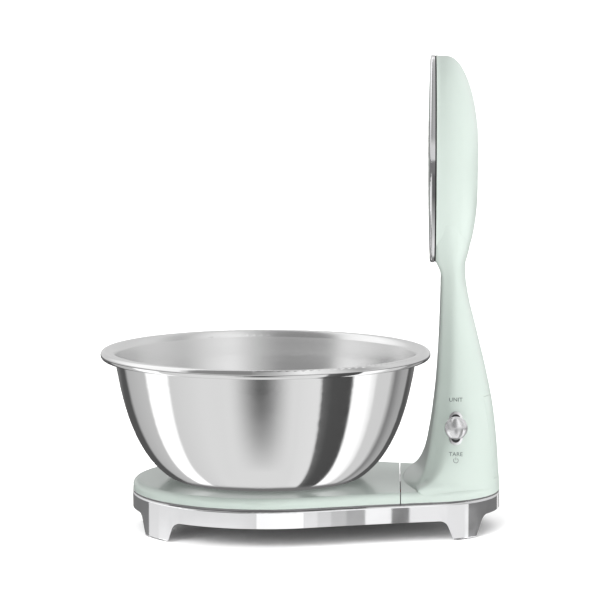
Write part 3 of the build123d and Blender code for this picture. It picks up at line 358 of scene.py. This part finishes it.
def add_piece(name, mesh, made, body):
    """Links a finished mesh as a piece of the object."""
    piece = bpy.data.objects.new(name, mesh)
    bpy.context.scene.collection.objects.link(piece)
    mesh.materials.clear()
    mesh.materials.append(made)
    piece.visible_glossy = False
    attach(piece, body)


def in_order(items, key):
    """Sorts a bmesh sequence, whose own sort takes numbers only."""
    rank = {item: i for i, item in enumerate(sorted(items, key=key))}
    items.sort(key=rank.get)
    return rank


def thicken(flat, name, shift):
    """Extrudes a sheet into a thin solid and makes it a mesh."""
    grown = bmesh.ops.extrude_face_region(flat, geom=list(flat.faces))
    for item in grown["geom"]:
        if isinstance(item, bmesh.types.BMVert):
            item.co += shift
    bmesh.ops.recalc_face_normals(flat, faces=flat.faces)
    # an extrusion stores its parts in another order each run
    rank = in_order(flat.verts, lambda vert: vert.co[:])
    for items in (flat.edges, flat.faces):
        in_order(items, lambda item: sorted(rank[vert] for vert in item.verts))
    mesh = bpy.data.meshes.new(name)
    flat.to_mesh(mesh)
    flat.free()
    return mesh


def surface_of(name):
    """Search tree of a CAD node's surface."""
    return BVHTree.FromObject(frame["nodes"][name], bpy.context.evaluated_depsgraph_get())


FONT_CAP = 0.73             # cap height of the built-in font at size 1
LETTER_GROWTH = 0.00003     # letters are this much bolder all round
LETTER_SPACING = 1.06


def text_outline(text, height):
    """Flat letters of the given cap height, centred on the origin, as a bmesh."""
    curve = bpy.data.curves.new("letters", "FONT")
    curve.body = text
    curve.align_x = "CENTER"
    curve.align_y = "CENTER"
    curve.space_character = LETTER_SPACING
    curve.size = height / FONT_CAP
    curve.resolution_u = 6
    curve.offset = LETTER_GROWTH
    carrier = bpy.data.objects.new("letters", curve)
    bpy.context.scene.collection.objects.link(carrier)
    mesh = bpy.data.meshes.new_from_object(carrier.evaluated_get(bpy.context.evaluated_depsgraph_get()))
    bpy.data.objects.remove(carrier)
    flat = bmesh.new()
    flat.from_mesh(mesh)
    bmesh.ops.remove_doubles(flat, verts=flat.verts, dist=1e-6)
    return flat


def power_mark(radius, stroke):
    """Open ring with an upright bar, as a flat bmesh centred on the origin."""
    flat = bmesh.new()
    gap = radians(38)
    steps = 28
    bar_low, bar_high = 0.1 * radius, 1.15 * radius
    rows = []
    for i in range(steps + 1):
        turn = pi / 2 + gap + (2 * pi - 2 * gap) * i / steps
        rows.append([flat.verts.new((r * cos(turn), r * sin(turn), 0)) for r in (radius - stroke, radius)])
    for (a, b), (c, d) in zip(rows, rows[1:]):
        flat.faces.new((a, b, d, c))
    half = stroke / 2
    bar = [(-half, bar_low), (half, bar_low), (half, bar_high), (-half, bar_high)]
    flat.faces.new([flat.verts.new((x, y, 0)) for x, y in bar])
    return flat


def slot_shade_band(inner, outer):
    """Flat upright oval band between two (width, height) sizes, as a bmesh centred on the origin. Laid in
    black on the lever bezel round the slot, it is painted shade for the slot's inside, which lies in shadow
    under the ball.
    """
    flat = bmesh.new()
    steps = 48
    rows = []
    for i in range(steps):
        turn = 2 * pi * i / steps
        rows.append([])
        for width, height in (inner, outer):
            radius = width / 2
            shift = (height / 2 - radius) * (1 if sin(turn) >= 0 else -1)
            rows[-1].append(flat.verts.new((radius * cos(turn), radius * sin(turn) + shift, 0)))
    for (a, b), (c, d) in zip(rows, rows[1:] + rows[:1]):
        flat.faces.new((a, b, d, c))
    return flat


# the lever's seat on the column: every mark lies in this plane before it is laid on the wall
LEVER = JOINTS["lever_tilt"]
PIVOT = Vector(LEVER["pos_m"])
BALL = Vector([(low + high) / 2 for low, high in zip(*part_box("lever_knob"))])
OUT = (BALL - PIVOT).normalized()
RIGHT = Vector(LEVER["axis"])
UP = OUT.cross(RIGHT)
SEAT_DEPTH = 0.018          # pivot behind the wall
SEAT = PIVOT + OUT * SEAT_DEPTH
RAY_START = 0.03            # rays towards the wall start this far out
MARK_EDGE = 0.0006          # longer edges are divided, so that a mark follows the wall
MARK_CUTS = 3
MARK_HEIGHT = 0.00010       # a mark stands this far off the wall, and reaches as far into it


def lay_on(flat, name, rise, surface, made):
    """Projects a flat mark, this far above the seat, onto a surface and gives it a little thickness."""
    bmesh.ops.triangulate(flat, faces=flat.faces)
    long_edges = [edge for edge in flat.edges if edge.calc_length() > MARK_EDGE]
    bmesh.ops.subdivide_edges(flat, edges=long_edges, cuts=MARK_CUTS)
    bmesh.ops.triangulate(flat, faces=flat.faces)
    centre = SEAT + UP * rise
    for vert in flat.verts:
        start = centre + RIGHT * vert.co.x + UP * vert.co.y + OUT * RAY_START
        hit, _, _, _ = surface.ray_cast(start, -OUT)
        vert.co = hit + OUT * MARK_HEIGHT
    add_piece(name, thicken(flat, name, OUT * -2 * MARK_HEIGHT), made, "base")


# painted shade: sizes of a black band on the bezel round the lever's slot, standing in for the slot's
# shadowed inside
SLOT_SHADE_INNER = (0.0050, 0.0157)
SLOT_SHADE_OUTER = (0.0062, 0.0194)
UNIT_RISE = 0.0195
TARE_RISE = -0.0176
POWER_RISE = -0.0218
CAP_HEIGHT = 0.0028
POWER_RADIUS = 0.0018
POWER_STROKE = 0.0004

wall = surface_of("column_housing")
# painted shade round the lever's slot, laid in black on the chrome bezel
lay_on(slot_shade_band(SLOT_SHADE_INNER, SLOT_SHADE_OUTER), "lever_slot_painted_shade", 0.0, surface_of("lever_bezel"), BLACK)
lay_on(text_outline("UNIT", CAP_HEIGHT), "legend_upper", UNIT_RISE, wall, LEGEND)
lay_on(text_outline("TARE", CAP_HEIGHT), "legend_lower", TARE_RISE, wall, LEGEND)
lay_on(power_mark(POWER_RADIUS, POWER_STROKE), "legend_power", POWER_RISE, wall, LEGEND)


# the six lit segments of a nought: side, row, upright
NOUGHT = ((0, 1, False), (1, 0.5, True), (1, -0.5, True), (0, -1, False), (-1, -0.5, True), (-1, 0.5, True))
FIGURE_HEIGHT = 0.012
FIGURE_THICKNESS = 0.00004
FIGURE_GAP = 0.00002        # in front of the display module


def figure(name, centre, height):
    """Seven-segment nought standing just in front of the display module."""
    width = 0.5 * height
    stroke = 0.09 * height
    mitre = 0.6 * stroke
    flat = bmesh.new()
    for side, row, upright in NOUGHT:
        half_w = stroke / 2 if upright else width / 2 - mitre
        half_h = height / 4 - mitre if upright else stroke / 2
        y = side * width / 2
        z = row * height / 2
        corners = [centre + Vector((0, -(y + i * half_w), z + j * half_h))
                   for i, j in ((-1, -1), (1, -1), (1, 1), (-1, 1))]
        flat.faces.new([flat.verts.new(corner) for corner in corners])
    add_piece(name, thicken(flat, name, Vector((-FIGURE_THICKNESS, 0, 0))), SEGMENT, "base")


lcd_low, lcd_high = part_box("lcd_module")
figure("display_figures", Vector((lcd_low[0] - FIGURE_GAP, 0, (lcd_low[2] + lcd_high[2]) / 2)), FIGURE_HEIGHT)


# ------------------------------------------------------------------ floor and light

FLOOR_HALF = 40.0
FLOOR_GAP = 0.00005         # between the floor and the pads
# light on the floor alone: tilt towards the camera, turn towards the bowl's side, width, strength
FLOOR_LIGHTS = ((0.0, 0.0, 160.0, 0.85), (65.0, 32.0, 50.0, 4.3))


def white_floor():
    """Plain pale floor that runs out of the picture; mirrors look past it."""
    mesh = bpy.data.meshes.new("floor")
    z = CAD_BOX[0][2] - FLOOR_GAP
    corners = [(x * FLOOR_HALF, y * FLOOR_HALF, z) for x, y in ((-1, -1), (1, -1), (1, 1), (-1, 1))]
    mesh.from_pydata(corners, [], [(0, 1, 2, 3)])
    floor = bpy.data.objects.new("floor", mesh)
    bpy.context.scene.collection.objects.link(floor)
    made = new_material("floor_white", (0.95, 0.95, 0.95), 0.9, Specular_IOR_Level=0.0)
    mesh.materials.append(made)
    floor.visible_glossy = False
    floor.visible_shadow = False
    lit = bpy.data.collections.new("floor_only")
    lit.objects.link(floor)
    for i, (tilt, aside, width, strength) in enumerate(FLOOR_LIGHTS):
        light = bpy.data.lights.new(f"floor_light_{i}", "SUN")
        light.angle = radians(width)
        light.energy = strength
        lamp = bpy.data.objects.new(light.name, light)
        bpy.context.scene.collection.objects.link(lamp)
        lamp.rotation_euler = (radians(tilt), 0.0, -radians(aside))
        lamp.light_linking.receiver_collection = lit


# The mirrors see cards laid out by the half vector: half way between a mirrored ray and the
# picture's line of sight, which is the way the mirror itself faces. The line of sight is cut
# short, so that the cards draw together towards the foot of the bowl.
SIGHT = (-0.022, 0.844, -0.096)
# below the horizon: twice the mirror's own azimuth in degrees, from the front towards the
# column, and brightness
STUDIO = (
    (-180, 0.10), (-162, 0.10), (-152, 0.52), (-115, 0.64), (-112, 1.35), (-86, 1.35),
    (-83, 0.76), (-50, 0.86), (-30, 0.85), (35, 0.88), (50, 0.92), (52, 0.16),
    (61, 0.09), (80, 0.08), (82, 1.35), (99, 1.30), (107, 1.00), (110, 0.76),
    (129, 0.76), (140, 0.25), (156, 0.42), (174, 0.45), (180, 0.10),
)
# above the horizon, seen by the inside of the bowl
CEILING = (
    (-180, 0.70), (-112, 1.25), (-66, 1.15), (-54, 0.30), (-8, 0.28), (12, 0.60),
    (32, 1.10), (56, 0.88), (80, 0.46), (112, 0.80), (180, 0.70),
)
# dark wedge straight ahead: brightness in it and round it, its half width in turns, where it
# joins the cards, and the tilts between which it fades out downwards
AHEAD_DARK = 0.13
AHEAD_LIGHT = 0.86
AHEAD_WIDTH = 0.080
AHEAD_JOIN = (0.095, 0.088)
AHEAD_FADE = (-0.66, -0.20)
UNDER_DARK = 0.20           # what the foot of the bowl sees where it turns under
UNDER_TILT = (-0.93, -0.85)
HORIZON_DARK = 0.20         # low dark band that upright chrome sees, and its lower edge
HORIZON_LOW = (-0.23, -0.17)
HORIZON = (-0.06, -0.02)    # where the cards give way to the sky
SKY_LOW = 0.72              # brightness just above the horizon
SKY_START = (0.12, 0.25)    # where the ceiling takes over from it
ROOM = 0.52                 # soft light from all round, which is all that dull surfaces see
# more or less of it from some sides: direction and strength
LOBES = (((0.80, -0.50, 0.33), 0.42), ((0.55, -0.15, 0.82), 0.60), ((-0.64, -0.43, 0.64), -0.20))
BACKDROP = 1.1              # what the camera itself sees


def band(tree, source, low, high):
    """Smooth step of a socket from 0 at low to 1 at high."""
    step = node(tree, "ShaderNodeMapRange", {"Value": source}, interpolation_type="SMOOTHSTEP")
    step.inputs["From Min"].default_value = low
    step.inputs["From Max"].default_value = high
    return step.outputs["Result"]


def feed(tree, socket, source):
    """Gives an input a number, or links a socket to it."""
    if isinstance(source, float):
        socket.default_value = source
    else:
        tree.links.new(source, socket)


def mix_grey(tree, factor, low, high):
    """Mix of two brightness values or sockets."""
    mixed = node(tree, "ShaderNodeMix", {"Factor": factor})
    feed(tree, mixed.inputs[2], low)
    feed(tree, mixed.inputs[3], high)
    return mixed.outputs[0]


def grey_ramp(tree, source, stops):
    """Brightness by azimuth, from stops in degrees."""
    ramp = node(tree, "ShaderNodeValToRGB", {"Fac": source})
    elements = ramp.color_ramp.elements
    for i, (degrees, value) in enumerate(stops):
        position = (degrees + 180) / 360
        element = elements[i] if i < 2 else elements.new(position)
        element.position = position
        element.color = (value, value, value, 1.0)
    return ramp.outputs["Color"]


def lobe(tree, direction, towards, strength, base):
    """Adds soft light from one side to a brightness."""
    facing = node(tree, "ShaderNodeVectorMath", {0: direction}, operation="DOT_PRODUCT")
    facing.inputs[1].default_value = Vector(towards).normalized()
    lit = node(tree, "ShaderNodeMath", {0: facing.outputs["Value"]}, operation="MAXIMUM")
    lit.inputs[1].default_value = 0.0
    total = node(tree, "ShaderNodeMath", {0: lit.outputs[0]}, operation="MULTIPLY_ADD")
    total.inputs[1].default_value = strength
    feed(tree, total.inputs[2], base)
    return total.outputs[0]


def glow(tree, strength):
    """White background of a given strength, a number or a socket."""
    made = node(tree, "ShaderNodeBackground")
    made.inputs["Color"].default_value = WHITE
    feed(tree, made.inputs["Strength"], strength)
    return made.outputs[0]


def studio_world():
    """White backdrop and soft light; mirrors see cards and a dark line at the horizon instead."""
    world = bpy.data.worlds.new("studio")
    bpy.context.scene.world = world
    world.use_nodes = True
    tree = world.node_tree
    tree.nodes.clear()
    direction = node(tree, "ShaderNodeTexCoord").outputs["Generated"]
    height = node(tree, "ShaderNodeSeparateXYZ", {0: direction}).outputs["Z"]
    half = node(tree, "ShaderNodeVectorMath", {0: direction}, operation="SUBTRACT")
    half.inputs[1].default_value = SIGHT
    unit = node(tree, "ShaderNodeVectorMath", {0: half.outputs[0]}, operation="NORMALIZE")
    facing = node(tree, "ShaderNodeSeparateXYZ", {0: unit.outputs[0]})
    ahead = node(tree, "ShaderNodeMath", {0: facing.outputs["Y"]}, operation="MULTIPLY")
    ahead.inputs[1].default_value = -1.0
    azimuth = node(tree, "ShaderNodeMath", {0: facing.outputs["X"], 1: ahead.outputs[0]}, operation="ARCTAN2")
    turn = node(tree, "ShaderNodeMapRange", {"Value": azimuth.outputs[0]})
    turn.inputs["From Min"].default_value = -pi / 2
    turn.inputs["From Max"].default_value = pi / 2
    # the dark wedge
    aside = node(tree, "ShaderNodeMath", {0: turn.outputs[0]}, operation="SUBTRACT")
    aside.inputs[1].default_value = 0.5
    off = node(tree, "ShaderNodeMath", {0: aside.outputs[0]}, operation="ABSOLUTE").outputs[0]
    fade = node(tree, "ShaderNodeMapRange", {"Value": facing.outputs["Z"]})
    fade.inputs["From Min"].default_value = AHEAD_FADE[0]
    fade.inputs["From Max"].default_value = AHEAD_FADE[1]
    near = band(tree, off, AHEAD_WIDTH, 0.0)
    depth = node(tree, "ShaderNodeMath", {0: near, 1: fade.outputs[0]}, operation="MULTIPLY")
    wedge = mix_grey(tree, depth.outputs[0], AHEAD_LIGHT, AHEAD_DARK)
    # cards, horizon and sky
    cards = mix_grey(tree, band(tree, off, *AHEAD_JOIN), grey_ramp(tree, turn.outputs[0], STUDIO), wedge)
    cards = mix_grey(tree, band(tree, facing.outputs["Z"], *UNDER_TILT), UNDER_DARK, cards)
    low = mix_grey(tree, band(tree, height, *HORIZON_LOW), cards, HORIZON_DARK)
    sky = mix_grey(tree, band(tree, height, *SKY_START), SKY_LOW, grey_ramp(tree, turn.outputs[0], CEILING))
    mirrored = mix_grey(tree, band(tree, height, *HORIZON), low, sky)
    soft = ROOM
    for towards, strength in LOBES:
        soft = lobe(tree, direction, towards, strength, soft)
    path = node(tree, "ShaderNodeLightPath")
    indirect = node(tree, "ShaderNodeMixShader",
                    {0: path.outputs["Is Glossy Ray"], 1: glow(tree, soft), 2: glow(tree, mirrored)})
    whole = node(tree, "ShaderNodeMixShader",
                 {0: path.outputs["Is Camera Ray"], 1: indirect.outputs[0], 2: glow(tree, BACKDROP)})
    node(tree, "ShaderNodeOutputWorld", {"Surface": whole.outputs[0]})


# softboxes low round the base, seen only in its chrome ring: where each one starts, and its
# brightness up to the next; 0 leaves a gap
RING_CARDS = (
    ((-0.1724, -0.0090), 0.60), ((-0.0347, -0.1716), 0.95), ((0.0473, -0.1548), 0.62),
    ((0.0600, -0.1500), 0.48), ((0.0690, -0.1465), 0.33), ((0.0790, -0.1428), 0.20),
    ((0.0905, -0.1385), 0.80), ((0.1068, -0.1356), 0.0), ((0.1170, -0.1344), 0.70),
    ((0.1959, -0.0644), 0.0), ((0.1690, 0.0520), 0.62), ((0.1577, 0.0670), 0.0),
)
CARD_HEIGHT = 0.05


def ring_cards():
    """Lights linked to the chrome ring alone, so they shine on nothing else."""
    seen_by = bpy.data.collections.new("ring_only")
    seen_by.objects.link(frame["nodes"]["base_ring"])
    for i, ((start, bright), (end, _)) in enumerate(zip(RING_CARDS, RING_CARDS[1:])):
        if not bright:
            continue
        a, b = Vector((*start, 0.0)), Vector((*end, 0.0))
        along = b - a
        light = bpy.data.lights.new(f"ring_card_{i}", "AREA")
        light.shape = "RECTANGLE"
        light.size, light.size_y = along.length, CARD_HEIGHT
        light.energy = bright * pi * along.length * CARD_HEIGHT
        lamp = bpy.data.objects.new(light.name, light)
        bpy.context.scene.collection.objects.link(lamp)
        inwards = Vector((-along.y, along.x, 0.0))
        lamp.location = (a + b) / 2
        lamp.rotation_euler = inwards.to_track_quat("-Z", "Y").to_euler()
        lamp.light_linking.receiver_collection = seen_by


CAMERA_YAW = radians(1.5)
CAMERA_PITCH = radians(6.5)
CAMERA_DISTANCE = 2.2764
CAMERA_AIM = Vector((0.0, 0.0, 0.1575))
SENSOR = 36.0
LENS = 198.0
CLIP_END = 200.0


def camera():
    """Long lens, a little above, turned slightly to the column's side."""
    data = bpy.data.cameras.new("camera")
    data.sensor_width = SENSOR
    data.lens = LENS
    data.clip_end = CLIP_END
    eye = bpy.data.objects.new("camera", data)
    bpy.context.scene.collection.objects.link(eye)
    level = cos(CAMERA_PITCH)
    away = Vector((sin(CAMERA_YAW) * level, -cos(CAMERA_YAW) * level, sin(CAMERA_PITCH)))
    eye.location = CAMERA_AIM + away * CAMERA_DISTANCE
    eye.rotation_euler = (-away).to_track_quat("-Z", "Y").to_euler()
    bpy.context.scene.camera = eye


white_floor()
studio_world()
ring_cards()
# gloss shows the studio and the bowl, and nothing else of the scale
for name, solid in frame["nodes"].items():
    solid.visible_glossy = name == "bowl"
camera()
bpy.context.scene.view_settings.view_transform = "Standard"
